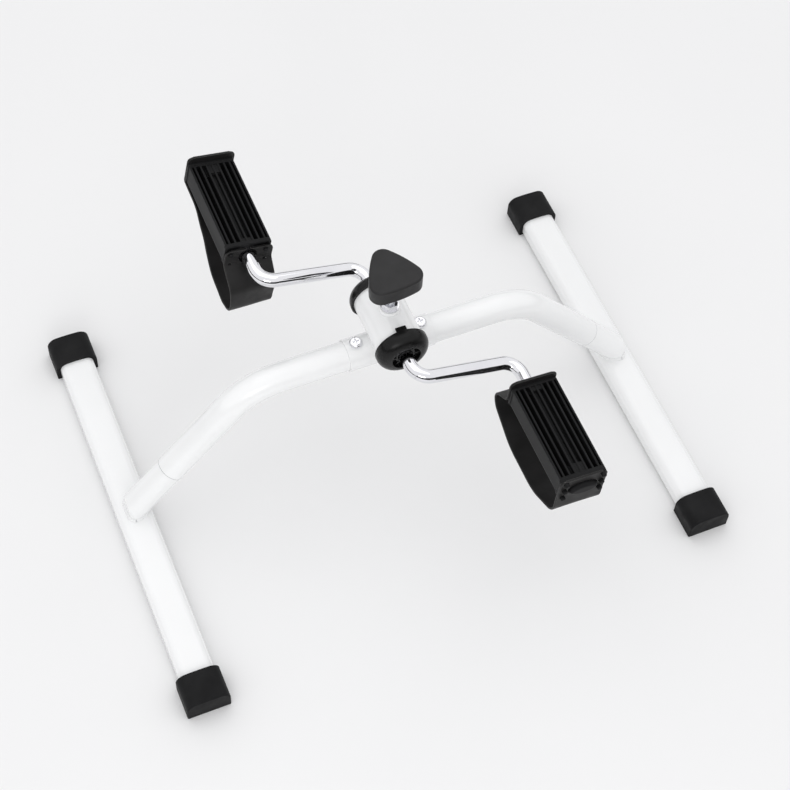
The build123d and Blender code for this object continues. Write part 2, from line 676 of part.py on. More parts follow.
def bush(flange_start, toward):
    """Flanged bush in the axle tube. toward is the way that its sleeve runs from the flange."""
    flange_end = flange_start + BUSH_FLANGE_LENGTH
    low = flange_start if toward > 0 else flange_end - BUSH_LENGTH
    sleeve = along_y(AXLE_BORE_RADIUS - SEATING_GAP / 2, low, low + BUSH_LENGTH)
    piece = sleeve + along_y(BUSH_FLANGE_RADIUS, flange_start, flange_end)
    return piece - along_y(ROD_RADIUS + RUNNING_CLEARANCE, low - 1, low + BUSH_LENGTH + 1)


def pedal_bushes():
    """The two bushes that a pedal turns on."""
    inner = bush(PEDAL_INNER + FACE_RECESS_DEPTH, 1)
    outer = bush(CLIP_POCKET_START + SEATING_GAP, -1)
    return group([inner, outer])


def clip_start():
    """Where the washer behind the outer bush starts."""
    return CLIP_POCKET_START + SEATING_GAP + BUSH_FLANGE_LENGTH + AXIAL_GAP


def pedal_washer():
    """Steel washer on the rod, outside the outer bush."""
    start = clip_start()
    return ring_along_y(WASHER_RADIUS, FIXED_RADIUS, start, start + WASHER_LENGTH)


def pedal_clip():
    """Push-on clip that holds the washer and the pedal on the rod."""
    start = clip_start() + WASHER_LENGTH + SEATING_GAP
    clip = ring_along_y(CLIP_RADIUS, FIXED_RADIUS, start, start + CLIP_LENGTH)
    for index in range(3):
        notch = block((ROD_RADIUS, CLIP_RADIUS - 1), (start - 1, start + CLIP_LENGTH + 1), (-0.8, 0.8))
        clip -= Rot(0, index * 120, 0) * notch
    return clip


def pedal_end_cap():
    """Oval domed cover over the end of the rod."""
    plate_start = PEDAL_OUTER - FACE_RECESS_DEPTH + SEATING_GAP
    place = Plane(origin=(0, plate_start, 0), x_dir=(1, 0, 0), z_dir=(0, 1, 0))
    oval = Ellipse(OVAL_WIDTH / 2, OVAL_HEIGHT / 2)
    cover = extrude(place * oval, OVAL_LENGTH)
    cover = fillet(cover.edges().sort_by(Axis.Y)[-1], OVAL_EDGE_RADIUS)
    spigot_radius = OVAL_HEIGHT / 2 - 1
    return cover + along_y(spigot_radius, plate_start - OVAL_SPIGOT_LENGTH, plate_start + 1)


def foot_strap(end):
    """Flat band that loops under a pedal from one end face to the other."""
    line = [(0, y, z) for y, z in STRAP_LINES[end]]
    path = FilletPolyline(*line, radius=STRAP_RADII[end])
    section = Plane(origin=path @ 0, x_dir=(1, 0, 0), z_dir=path % 0)
    band = section * Pos(STRAP_SHIFT, 0) * Rectangle(STRAP_WIDTH, STRAP_THICKNESS)
    strap = sweep(band, path=path)
    lower_end = min((path @ 0).Z, (path @ 1).Z)
    end_edges = strap.edges().filter_by(Axis.Y).filter_by(lambda edge: edge.center().Z > lower_end - 1)
    strap = fillet(end_edges, STRAP_TAB_CORNER)
    strap -= along_y(STRAP_CRANK_HOLE, CRANK_ARM_Y, PEDAL_INNER)
    outer_face = Plane(origin=(0, PEDAL_OUTER, 0), x_dir=(1, 0, 0), z_dir=(0, 1, 0))
    window = Ellipse(OVAL_WIDTH / 2 + STRAP_WINDOW_GAP, OVAL_HEIGHT / 2 + STRAP_WINDOW_GAP)
    strap -= extrude(outer_face * window, PEG_REACH)
    for side in (-1, 1):
        for height in INNER_STUD_HEIGHTS:
            strap -= along_y(STRAP_HOLE_RADIUS, PEDAL_INNER - STUD_REACH, PEDAL_INNER, side * STUD_X, height)
        for height in OUTER_PEG_HEIGHTS:
            strap -= along_y(STRAP_HOLE_RADIUS, PEDAL_OUTER, PEDAL_OUTER + PEG_REACH, side * PEG_X, height)
    return strap


def build_nodes():
    """Every node's name and shape."""
    sides = {"left": -1, "right": 1}
    ends = {"front": -1, "rear": 1}
    nodes = {
        "hub_shell": hub_shell(),
        "cross_sleeve": cross_sleeve(),
        "screw_boss": screw_boss(),
        "jam_nut": jam_nut(),
        "arm_bolts": group([arm_bolt(-1), arm_bolt(1)]),
        "arm_nuts": group([arm_nut(-1), arm_nut(1)]),
        "rear_end_cap": end_cap(),
        "front_end_cap": mirrored_y(end_cap()),
        "rear_bearing": bearing(),
        "front_bearing": mirrored_y(bearing()),
        "crank_rod": crank_rod(),
        "shaft_collars": shaft_collars(),
        "brake_drum": brake_drum(),
        "brake_shoe": brake_shoe(),
        "tension_screw": tension_screw(),
        "tension_knob": tension_knob(),
    }
    for side_name, side in sides.items():
        nodes[f"{side_name}_arm"] = arm_tube(side)
        nodes[f"{side_name}_stub"] = stub(side)
        nodes[f"{side_name}_crossbar"] = crossbar(side)
        for end_name, end in ends.items():
            nodes[f"{end_name}_{side_name}_foot_cap"] = foot_cap(side, end)
    for end_name in ends:
        place = pedal_place(end_name)
        nodes[f"{end_name}_pedal_body"] = place * pedal_body()
        nodes[f"{end_name}_pedal_bushes"] = place * pedal_bushes()
        nodes[f"{end_name}_pedal_end_cap"] = place * pedal_end_cap()
        nodes[f"{end_name}_foot_strap"] = place * foot_strap(end_name)
        nodes[f"{end_name}_pedal_washer"] = place * pedal_washer()
        nodes[f"{end_name}_pedal_clip"] = place * pedal_clip()
    return nodes


os.makedirs("parts", exist_ok=True)
for node_name, shape in build_nodes().items():
    export_step(shape, f"parts/{node_name}.step")
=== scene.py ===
import json
import math

import bmesh
import bpy
from mathutils import Matrix, Vector


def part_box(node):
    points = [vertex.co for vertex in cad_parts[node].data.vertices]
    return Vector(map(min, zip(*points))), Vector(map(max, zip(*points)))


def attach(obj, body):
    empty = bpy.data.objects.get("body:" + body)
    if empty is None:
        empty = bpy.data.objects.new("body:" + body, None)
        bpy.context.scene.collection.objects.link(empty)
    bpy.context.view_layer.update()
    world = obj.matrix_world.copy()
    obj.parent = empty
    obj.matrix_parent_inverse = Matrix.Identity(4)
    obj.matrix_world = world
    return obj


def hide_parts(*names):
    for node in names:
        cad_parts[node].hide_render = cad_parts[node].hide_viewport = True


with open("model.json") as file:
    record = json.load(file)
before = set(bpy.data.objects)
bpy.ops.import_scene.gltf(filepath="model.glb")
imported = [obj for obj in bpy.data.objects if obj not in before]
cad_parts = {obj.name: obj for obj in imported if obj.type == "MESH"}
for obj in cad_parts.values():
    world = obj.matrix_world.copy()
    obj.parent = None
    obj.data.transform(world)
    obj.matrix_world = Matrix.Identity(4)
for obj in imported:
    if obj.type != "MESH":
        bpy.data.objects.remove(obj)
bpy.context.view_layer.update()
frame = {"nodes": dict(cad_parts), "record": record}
NODES = frame["nodes"]

# The camera, in the row frame: metres and degrees
CAMERA_PLACE = (-0.38434, -0.79917, 1.45105)
CAMERA_AZIMUTH = -26.317
CAMERA_ELEVATION = 57.234
CAMERA_ROLL = 4.359
CAMERA_LENS = 85.07  # mm, on a 36 mm sensor

MM = 0.001
FLOOR_HALF = 6.0
FLAG_HALF_WIDTH = 1.5


# ---------------------------------------------------------------- studio


def make_camera():
    """A still-life camera, looking down over the front left corner."""
    azimuth, elevation, roll = (
        math.radians(a) for a in (CAMERA_AZIMUTH, CAMERA_ELEVATION, CAMERA_ROLL)
    )
    back = Vector(
        (
            math.sin(azimuth) * math.cos(elevation),
            -math.cos(azimuth) * math.cos(elevation),
            math.sin(elevation),
        )
    )
    level_right = (-back).cross(Vector((0, 0, 1))).normalized()
    level_up = level_right.cross(-back)
    right = level_right * math.cos(roll) + level_up * math.sin(roll)
    up = level_up * math.cos(roll) - level_right * math.sin(roll)
    data = bpy.data.cameras.new("camera")
    data.lens = CAMERA_LENS
    data.sensor_width = 36.0
    data.clip_start = 0.01
    data.clip_end = 50.0
    camera = bpy.data.objects.new("camera", data)
    turn = Matrix((right, up, back)).transposed().to_4x4()
    camera.matrix_world = Matrix.Translation(Vector(CAMERA_PLACE)) @ turn
    bpy.context.scene.collection.objects.link(camera)
    bpy.context.scene.camera = camera


def area_light(name, place, target, size, power, spread=180.0):
    """A soft box that faces the target."""
    data = bpy.data.lights.new(name, "AREA")
    data.shape = "RECTANGLE"
    data.size, data.size_y = size
    data.energy = power
    data.spread = math.radians(spread)
    light = bpy.data.objects.new(name, data)
    light.location = place
    light.rotation_euler = (Vector(target) - Vector(place)).to_track_quat("-Z", "Y").to_euler()
    bpy.context.scene.collection.objects.link(light)
    return light


def make_lights():
    """A large soft box overhead and a low fill, in a white room."""
    area_light("overhead", (0.05, 0.35, 1.90), (0, 0.02, 0.05), (2.2, 1.7), 5.0)
    area_light("front_fill", (-0.8, -1.7, 0.9), (0, 0, 0.15), (1.0, 0.8), 6.5)
    world = bpy.data.worlds.new("room")
    world.use_nodes = True
    tree = world.node_tree
    background = tree.nodes["Background"]
    coordinate = tree.nodes.new("ShaderNodeTexCoord")
    split = tree.nodes.new("ShaderNodeSeparateXYZ")
    ramp = tree.nodes.new("ShaderNodeValToRGB")
    ramp.color_ramp.elements[0].position = 0.0
    ramp.color_ramp.elements[0].color = (0.72, 0.72, 0.73, 1)
    ramp.color_ramp.elements[1].position = 0.25
    ramp.color_ramp.elements[1].color = (0.97, 0.97, 0.98, 1)
    tree.links.new(coordinate.outputs["Generated"], split.inputs[0])
    tree.links.new(split.outputs["Z"], ramp.inputs["Fac"])
    tree.links.new(ramp.outputs["Color"], background.inputs["Color"])
    background.inputs["Strength"].default_value = 0.97
    bpy.context.scene.world = world
    bpy.context.scene.view_settings.view_transform = "Standard"


# ---------------------------------------------------------------- materials


class Graph:
    """A material's node tree, with a Principled shader already in it."""

    def __init__(self, name):
        self.material = bpy.data.materials.new(name)
        self.material.use_nodes = True
        self.tree = self.material.node_tree
        self.tree.nodes.clear()
        self.shader = self.add("ShaderNodeBsdfPrincipled")
        output = self.add("ShaderNodeOutputMaterial")
        self.link(self.shader.outputs["BSDF"], output.inputs["Surface"])
        self.place = self.add("ShaderNodeTexCoord").outputs["Object"]

    def add(self, kind):
        return self.tree.nodes.new(kind)

    def link(self, source, target):
        self.tree.links.new(source, target)

    def stretched(self, scale):
        """Object coordinates, scaled along X, Y and Z."""
        mapping = self.add("ShaderNodeMapping")
        mapping.inputs["Scale"].default_value = scale
        self.link(self.place, mapping.inputs["Vector"])
        return mapping.outputs["Vector"]

    def noise(self, scale, detail=2.0, stretch=(1, 1, 1), roughness=0.5):
        """Grey noise, in cells per metre along each axis."""
        node = self.add("ShaderNodeTexNoise")
        node.inputs["Scale"].default_value = scale
        node.inputs["Detail"].default_value = detail
        node.inputs["Roughness"].default_value = roughness
        self.link(self.stretched(stretch), node.inputs["Vector"])
        return node.outputs["Fac"]

    def spread(self, value, low, high, at=(0.3, 0.7)):
        """Remaps a grey value to the range low to high."""
        node = self.add("ShaderNodeMapRange")
        node.inputs["From Min"].default_value = at[0]
        node.inputs["From Max"].default_value = at[1]
        node.inputs["To Min"].default_value = low
        node.inputs["To Max"].default_value = high
        self.link(value, node.inputs["Value"])
        return node.outputs["Result"]

    def blend(self, factor, first, second):
        """A colour between two others. Each may be a colour or another node's output."""
        node = self.add("ShaderNodeMix")
        node.data_type = "RGBA"
        self.link(factor, node.inputs["Factor"])
        for value, name in ((first, 6), (second, 7)):
            if isinstance(value, tuple):
                node.inputs[name].default_value = value + (1.0,)
            else:
                self.link(value, node.inputs[name])
        return node.outputs[2]

    def edges(self, radius):
        """1 along sharp edges and 0 away from them, with the softened normal."""
        bevel = self.add("ShaderNodeBevel")
        bevel.samples = 4
        bevel.inputs["Radius"].default_value = radius
        geometry = self.add("ShaderNodeNewGeometry")
        dot = self.add("ShaderNodeVectorMath")
        dot.operation = "DOT_PRODUCT"
        self.link(bevel.outputs["Normal"], dot.inputs[0])
        self.link(geometry.outputs["Normal"], dot.inputs[1])
        return self.spread(dot.outputs["Value"], 1.0, 0.0, (0.8, 0.99)), bevel.outputs["Normal"]

    def bump(self, height, distance, strength=1.0, normal=None):
        """A bumped normal, from a grey height."""
        node = self.add("ShaderNodeBump")
        node.inputs["Distance"].default_value = distance
        node.inputs["Strength"].default_value = strength
        self.link(height, node.inputs["Height"])
        if normal is not None:
            self.link(normal, node.inputs["Normal"])
        return node.outputs["Normal"]

    def finish(self, color, roughness, normal):
        self.link(color, self.shader.inputs["Base Color"])
        self.link(roughness, self.shader.inputs["Roughness"])
        self.link(normal, self.shader.inputs["Normal"])
        return self.material


def white_paint():
    """Glossy white powder coat: slight orange peel, and a darker bluish grey along sharp edges."""
    graph = Graph("white_paint")
    edge, soft = graph.edges(0.5 * MM)
    body = graph.blend(
        graph.spread(graph.noise(14), 0, 1), (0.85, 0.855, 0.855), (0.875, 0.88, 0.88)
    )
    color = graph.blend(graph.spread(edge, 0, 0.35, (0, 1)), body, (0.70, 0.715, 0.73))
    peel = graph.bump(graph.noise(900, 1.0), 0.04 * MM, 0.35, soft)
    rough = graph.spread(graph.noise(60, 3.0), 0.16, 0.24)
    graph.shader.inputs["Coat Weight"].default_value = 0.35
    graph.shader.inputs["Coat Roughness"].default_value = 0.06
    graph.shader.inputs["IOR"].default_value = 1.5
    return graph.finish(color, rough, peel)


def plating(name, first, second, rough_low, rough_high, scratch, stretch):
    """Plated or bright metal, with faint drawing lines and edge wear."""
    graph = Graph(name)
    edge, soft = graph.edges(0.25 * MM)
    body = graph.blend(graph.spread(graph.noise(40, 3.0), 0, 1), first, second)
    color = graph.blend(graph.spread(edge, 0, 0.4, (0, 1)), body, tuple(0.8 * c for c in first))
    lines = graph.noise(1.0, 3.0, stretch)
    rough = graph.spread(lines, rough_low, rough_high)
    graph.shader.inputs["Metallic"].default_value = 1.0
    return graph.finish(color, rough, graph.bump(lines, scratch, 0.5, soft))


def moulded(name, first, second, rough, grain_scale, grain_depth, edge_highlight, level=0.5, stretch=(1, 1, 1)):
    """Moulded plastic or rubber: fine grain, uneven gloss, and edges lightened as a painted highlight.
    """
    graph = Graph(name)
    graph.shader.inputs["Specular IOR Level"].default_value = level
    edge, soft = graph.edges(0.4 * MM)
    body = graph.blend(graph.spread(graph.noise(55, 4.0, stretch), 0, 1), first, second)
    # Sharp edges are blended towards a lighter colour, a painted highlight.
    color = graph.blend(graph.spread(edge, 0, 0.5, (0, 1)), body, edge_highlight)
    grain = graph.noise(grain_scale, 3.0, stretch, 0.6)
    gloss = graph.spread(graph.noise(grain_scale / 12, 3.0, stretch), rough[0], rough[1])
    return graph.finish(color, gloss, graph.bump(grain, grain_depth * MM, 0.6, soft))


def make_materials():
    """One material for each slot of the record."""
    # In each moulded call, the colour after the grain depth is the painted edge highlight.
    return {
        "white_paint": white_paint(),
        "chrome": plating(
            "chrome", (0.86, 0.86, 0.88), (0.80, 0.80, 0.83), 0.035, 0.09, 0.004 * MM, (900, 60, 900)
        ),
        "zinc_steel": plating(
            "zinc_steel", (0.62, 0.63, 0.66), (0.52, 0.53, 0.56), 0.22, 0.34, 0.01 * MM, (500, 500, 80)
        ),
        "cap_rubber": moulded(
            "cap_rubber", (0.006, 0.006, 0.0065), (0.011, 0.011, 0.0115), (0.50, 0.66), 1500, 0.05,
            (0.045, 0.045, 0.045), 0.14,
        ),
        "black_plastic": moulded(
            "black_plastic", (0.007, 0.007, 0.0075), (0.011, 0.011, 0.0115), (0.46, 0.56), 700, 0.04,
            (0.045, 0.045, 0.045), 0.13, (1, 0.12, 1),
        ),
        "knob_plastic": moulded(
            "knob_plastic", (0.012, 0.0115, 0.012), (0.018, 0.0175, 0.018), (0.40, 0.52), 1600, 0.04,
            (0.06, 0.06, 0.06), 0.34,
        ),
        "end_cap_plastic": moulded(
            "end_cap_plastic", (0.004, 0.004, 0.004), (0.007, 0.007, 0.007), (0.22, 0.34), 900, 0.02,
            (0.04, 0.04, 0.04), 0.22,
        ),
        "strap_vinyl": moulded(
            "strap_vinyl", (0.009, 0.0085, 0.0085), (0.014, 0.0135, 0.0135), (0.42, 0.56), 1300, 0.06,
            (0.20, 0.195, 0.19), 0.26,
        ),
        "nylon": moulded(
            "nylon", (0.62, 0.61, 0.56), (0.70, 0.69, 0.64), (0.40, 0.52), 900, 0.03, (0.75, 0.74, 0.70)
        ),
        "brake_fibre": moulded(
            "brake_fibre", (0.12, 0.095, 0.07), (0.18, 0.14, 0.10), (0.70, 0.85), 1800, 0.10,
            (0.2, 0.16, 0.12),
        ),
    }


def dress_nodes(materials):
    """Each CAD node gets its slot's material."""
    for part in frame["record"]["subparts"]:
        slots = NODES[part["node"]].material_slots
        for index in range(len(slots)):
            slots[index].material = materials[part["material_slot"]]


# ---------------------------------------------------------------- floor


def make_floor():
    """A pale sheet that reaches past every edge of the view."""
    mesh = bpy.data.meshes.new("floor")
    builder = bmesh.new()
    outline = ((-1, -1), (1, -1), (1, 1), (-1, 1))
    corners = [builder.verts.new((x * FLOOR_HALF, y * FLOOR_HALF, 0)) for x, y in outline]
    builder.faces.new(corners)
    builder.to_mesh(mesh)
    builder.free()
    floor = bpy.data.objects.new("floor", mesh)
    graph = Graph("floor_paper")
    tone = graph.blend(graph.spread(graph.noise(3), 0, 1), (0.82, 0.82, 0.82), (0.835, 0.835, 0.835))
    rough = graph.spread(graph.noise(40), 0.60, 0.70)
    mesh.materials.append(graph.finish(tone, rough, graph.bump(graph.noise(800), 0.03 * MM, 0.2)))
    bpy.context.scene.collection.objects.link(floor)


# ---------------------------------------------------------------- mesh pieces


FOLD_ANGLE = 35.0  # degrees; a sharper fold gets a crisp edge


def new_piece(name, builder, material, smooth_angle=FOLD_ANGLE):
    """An object from a bmesh, smooth except over sharp folds."""
    bmesh.ops.recalc_face_normals(builder, faces=builder.faces)
    mesh = bpy.data.meshes.new(name)
    builder.to_mesh(mesh)
    builder.free()
    mesh.materials.append(material)
    mesh.shade_smooth()
    mesh.set_sharp_from_angle(angle=math.radians(smooth_angle))
    piece = bpy.data.objects.new(name, mesh)
    bpy.context.scene.collection.objects.link(piece)
    return piece


def skin(builder, rings, closed):
    """Faces between rings of vertices. An open run gets a face at each end."""
    rows = [[builder.verts.new(point) for point in ring] for ring in rings]
    pairs = list(zip(rows, rows[1:]))
    if closed:
        pairs.append((rows[-1], rows[0]))
    for first, second in pairs:
        for index in range(len(first)):
            after = (index + 1) % len(first)
            builder.faces.new((first[index], first[after], second[after], second[index]))
    if not closed:
        builder.faces.new(rows[0][::-1])
        builder.faces.new(rows[-1])


def arc_points(before, corner, after, radius, step):
    """Points along the arc that rounds one corner of a line, with short steps."""
    back = (before - corner).normalized()
    ahead = (after - corner).normalized()
    half_angle = back.angle(ahead) / 2
    middle = corner + (back + ahead).normalized() * (radius / math.sin(half_angle))
    start = corner + back * (radius / math.tan(half_angle)) - middle
    end = corner + ahead * (radius / math.tan(half_angle)) - middle
    turn = math.pi - 2 * half_angle
    count = max(2, math.ceil(radius * turn / step))
    return [middle + start.slerp(end, index / count).normalized() * radius for index in range(count + 1)]


def rounded_line(corners, radii, step):
    """Evenly spaced points along a line of corners, each rounded by its radius."""
    corners = [Vector(corner) for corner in corners]
    coarse = [corners[0]]
    for index, radius in enumerate(radii):
        coarse += arc_points(corners[index], corners[index + 1], corners[index + 2], radius, step)
    coarse.append(corners[-1])
    points = [coarse[0]]
    for first, second in zip(coarse, coarse[1:]):
        count = max(1, round((second - first).length / step))
        points += [first.lerp(second, (index + 1) / count) for index in range(count)]
    return points


def strip_outline(half_width, half_thickness, edge_radius, columns=14, edge_steps=3):
    """Closed outline of a flat strip with rounded edges, as (across, outward) pairs."""
    outline = []
    for side in (1, -1):
        flat = half_width - edge_radius
        for index in range(columns):
            outline.append((side * flat * (2 * index / columns - 1), side * half_thickness))
        for index in range(edge_steps + 1):
            angle = math.pi / 2 - math.pi * index / edge_steps
            across = flat + edge_radius * math.cos(angle)
            outline.append((side * across, side * half_thickness * math.sin(angle)))
    return outline


# ---------------------------------------------------------------- foot straps

PEDAL_INNER_FACE = 92.0  # distances along a pedal from the crank's middle, mm
PEDAL_OUTER_FACE = 187.0
STRAP_HALF_WIDTH = 21.5
STRAP_HALF_THICKNESS = 1.0
PEDAL_BOTTOM_RADIUS = 8.0
PEDAL_FLANGE_HALF_WIDTH = 20.5
STRAP_EDGE_RADIUS = 0.7
STRAP_STEP = 1.3  # between cross-sections
STRAP_TAB_RADIUS = 5.0
HUG_RISE = 5.0  # the most that a strap's edge rises round the pedal's underside
HUG_REACH = (138.0, 166.0)  # where along the pedal it comes in
HUG_DEPTH = (5.0, 12.5)  # and how far below the axle
WAVE_HEIGHT = 0.45
WAVE_DEPTH = (13.0, 27.0)  # the strap is free to wave below this
TWIST_DEPTH = (8.0, 36.0)  # the rear strap twists over this drop
TWIST_REACH = (86.0, 128.0)  # and this near to the crank
TWIST_SIDEWAYS = 2.2
TWIST_ALONG = (2.8, 4.8)  # at the middle, and more towards one edge
TWIST_DOWN = (4.3, 4.2)
FRONT_STRAP_ASIDE = 0.3  # each strap's offset across its pedal
REAR_STRAP_ASIDE = 1.0
PEDAL_TILTS = {"front": 4.0, "rear": 10.3}  # degrees about the axle
CUT_REACH = 3.0
HOLE_STEPS = 24
STRAP_INNER_Y = 90.9
STRAP_OUTER_Y = 188.1
OVAL_HALF = (13.3, 7.3)
CRANK_HOLE_RADIUS = 8.2
STUD_HOLE_RADIUS = 2.4
STUD_X = 15.5
STUD_HEIGHTS = (4.0, -8.0)
PEG_X = 16.5
PEG_HEIGHTS = (11.0, 1.0, -8.5)

# Where each strap runs, seen along the pedal's width: (distance along the pedal, height), mm
FRONT_LINE = (
    (STRAP_INNER_Y, 18.0),
    (STRAP_INNER_Y, -5.0),
    (71.5, -19.5),
    (78.5, -31.5),
    (112.0, -45.0),
    (157.0, -45.5),
    (189.0, -28.5),
    (STRAP_OUTER_Y, -9.0),
    (STRAP_OUTER_Y, 13.5),
)
FRONT_RADII = (8.0, 9.0, 12.0, 50.0, 40.0, 14.0, 3.0)
REAR_LINE = (
    (STRAP_OUTER_Y, 18.0),
    (STRAP_OUTER_Y, -14.6),
    (155.0, -15.6),
    (134.0, -22.5),
    (109.0, -42.5),
    (87.0, -48.5),
    (69.5, -44.0),
    (71.5, -19.0),
    (STRAP_INNER_Y, -7.0),
    (STRAP_INNER_Y, 8.0),
)
REAR_RADII = (2.0, 25.0, 30.0, 35.0, 12.0, 9.0, 9.0, 6.0)


def smooth_step(value, low, high):
    """0 below low, 1 above high and an easy curve between."""
    share = min(max((value - low) / (high - low), 0.0), 1.0)
    return share * share * (3 - 2 * share)


def hug(across, along, height):
    """How far the strap's edges rise where it is pulled round the pedal's rounded underside."""
    past = abs(across) - (PEDAL_FLANGE_HALF_WIDTH - PEDAL_BOTTOM_RADIUS)
    rise = PEDAL_BOTTOM_RADIUS - math.sqrt(max(PEDAL_BOTTOM_RADIUS**2 - max(past, 0.0) ** 2, 0.0))
    return min(rise, HUG_RISE) * smooth_step(along, *HUG_REACH) * smooth_step(-height, *HUG_DEPTH)


def strap_sway(across, along, height, twist):
    """How far the strap leaves its even line: sideways, along the pedal and up."""
    free = smooth_step(-height, *WAVE_DEPTH)
    near, far = TWIST_REACH
    inner = smooth_step(-height, *TWIST_DEPTH) * smooth_step(-along, -far, -near)
    share = across / STRAP_HALF_WIDTH
    wave = math.sin(0.055 * along + 0.03 * across) * math.cos(0.09 * across + 0.02 * along)
    shift_along = twist * inner * (TWIST_ALONG[0] + TWIST_ALONG[1] * share)
    drop = twist * inner * (TWIST_DOWN[0] + TWIST_DOWN[1] * share)
    shift_up = free * (WAVE_HEIGHT * wave) - drop + twist * hug(across, along, height)
    return twist * inner * TWIST_SIDEWAYS, shift_along, shift_up


def strap_rings(line, twist, aside):
    """Cross-sections of a strap, in pedal coordinates, mm."""
    rings = []
    length = STRAP_STEP * (len(line) - 1)
    for index, point in enumerate(line):
        ahead = (line[min(index + 1, len(line) - 1)] - line[max(index - 1, 0)]).normalized()
        outward = Vector((ahead.y, -ahead.x))
        from_end = min(index * STRAP_STEP, length - index * STRAP_STEP)
        inset = max(STRAP_TAB_RADIUS - from_end, 0.0)
        narrowing = STRAP_TAB_RADIUS - math.sqrt(max(STRAP_TAB_RADIUS**2 - inset**2, 0.0))
        ring = []
        half_width = STRAP_HALF_WIDTH - narrowing
        for across, out in strip_outline(half_width, STRAP_HALF_THICKNESS, STRAP_EDGE_RADIUS):
            sideways, along, up = strap_sway(across, point.x, point.y, twist)
            place = point + outward * out
            ring.append(Vector((across + aside + sideways, place.x + along, place.y + up)))
        rings.append(ring)
    return rings


def prism(builder, outline, start, end):
    """A solid cutter along the pedal, from an outline across it."""
    skin(builder, [[Vector((x, y, z)) for x, z in outline] for y in (start, end)], False)


def oval(half_width, half_height, centre=(0.0, 0.0), steps=40):
    turns = [math.tau * index / steps for index in range(steps)]
    return [
        (centre[0] + half_width * math.cos(turn), centre[1] + half_height * math.sin(turn))
        for turn in turns
    ]


def stud_hole(across, height):
    return oval(STUD_HOLE_RADIUS, STUD_HOLE_RADIUS, (across, height), HOLE_STEPS)


def strap_cutters():
    """The outlines and reach of every hole through a strap's two tabs."""
    inner = (PEDAL_INNER_FACE - CUT_REACH, PEDAL_INNER_FACE)
    outer = (PEDAL_OUTER_FACE, PEDAL_OUTER_FACE + CUT_REACH)
    cuts = [(oval(CRANK_HOLE_RADIUS, CRANK_HOLE_RADIUS), inner), (oval(*OVAL_HALF, steps=56), outer)]
    for side in (-1, 1):
        for height in STUD_HEIGHTS:
            cuts.append((stud_hole(side * STUD_X, height), inner))
        for height in PEG_HEIGHTS:
            cuts.append((stud_hole(side * PEG_X, height), outer))
    return cuts


def cut_holes(piece, place):
    """Takes the holes out of a strap, and leaves no modifier or cutter behind."""
    builder = bmesh.new()
    for outline, (start, end) in strap_cutters():
        prism(builder, outline, start, end)
    builder.transform(place)
    cutter = new_piece("strap_cutter", builder, piece.data.materials[0])
    cut = piece.modifiers.new("holes", "BOOLEAN")
    cut.operation = "DIFFERENCE"
    cut.solver = "EXACT"
    cut.object = cutter
    graph = bpy.context.evaluated_depsgraph_get()
    mesh = bpy.data.meshes.new_from_object(piece.evaluated_get(graph))
    piece.modifiers.clear()
    piece.data = mesh
    mesh.set_sharp_from_angle(angle=math.radians(FOLD_ANGLE))
    bpy.data.objects.remove(cutter)


def make_strap(end, corners, radii, twist, aside, material):
    """One vinyl strap, modelled as a band and cut where its studs and pegs come through."""
    builder = bmesh.new()
    line = rounded_line(corners, radii, STRAP_STEP)
    skin(builder, strap_rings(line, twist, aside), False)
    place = pedal_place(end)
    builder.transform(place)
    piece = new_piece(f"{end}_strap_band", builder, material)
    cut_holes(piece, place)
    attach(piece, f"{end}_pedal")
    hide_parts(f"{end}_foot_strap")


def pedal_place(end):
    """From pedal coordinates in mm to the row frame in metres."""
    joints = frame["record"]["behaviour"]["joints"]
    joint = next(j for j in joints if j["name"] == f"{end}_pedal_spin")
    axis = Vector((joint["pos_m"][0], 0, joint["pos_m"][2]))
    place = Matrix.Translation(axis) @ Matrix.Rotation(math.radians(PEDAL_TILTS[end]), 4, "Y")
    if end == "front":
        place = place @ Matrix.Rotation(math.pi, 4, "Z")
    return place @ Matrix.Scale(MM, 4)


# ---------------------------------------------------------------- screw and welds

THREAD_PITCH = 1.25
THREAD_CREST = 4.0
THREAD_ROOT = 3.35
THREAD_SIDES = 40
THREAD_SMOOTH_ANGLE = 50.0
FLANK_GAIN = 1.25  # over 1, so that crests and roots are flat
THREAD_ROWS_PER_TURN = 10
SCREW_TIP_RADIUS = 3.0
SCREW_TIP_LENGTH = 3.0


def thread_radius(height, angle, from_tip):
    """Distance from the axis to a right-hand thread's surface, mm."""
    share = (height / THREAD_PITCH - angle / math.tau) % 1.0
    flank = FLANK_GAIN * abs(2 * share - 1) - (FLANK_GAIN - 1) / 2
    flank = min(max(flank, 0.0), 1.0)
    radius = THREAD_ROOT + (THREAD_CREST - THREAD_ROOT) * flank
    return min(radius, SCREW_TIP_RADIUS) if from_tip < SCREW_TIP_LENGTH else radius


def make_screw(material):
    """The tension screw with its thread."""
    low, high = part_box("tension_screw")
    length = (high[2] - low[2]) / MM
    rows = math.ceil(length / THREAD_PITCH * THREAD_ROWS_PER_TURN)
    builder = bmesh.new()
    rings = []
    for row in range(rows + 1):
        height = length * row / rows
        ring = []
        for side in range(THREAD_SIDES):
            angle = math.tau * side / THREAD_SIDES
            radius = thread_radius(height, angle, height)
            ring.append(Vector((radius * math.cos(angle), radius * math.sin(angle), height)))
        rings.append(ring)
    skin(builder, rings, False)
    builder.transform(Matrix.Translation(Vector((0, 0, low[2]))) @ Matrix.Scale(MM, 4))
    piece = new_piece("tension_screw_thread", builder, material, THREAD_SMOOTH_ANGLE)
    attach(piece, "knob")
    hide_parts("tension_screw")


BEAD_SIDES = 10
BEAD_SMOOTH_ANGLE = 80.0
WELD_RIPPLE = 0.14


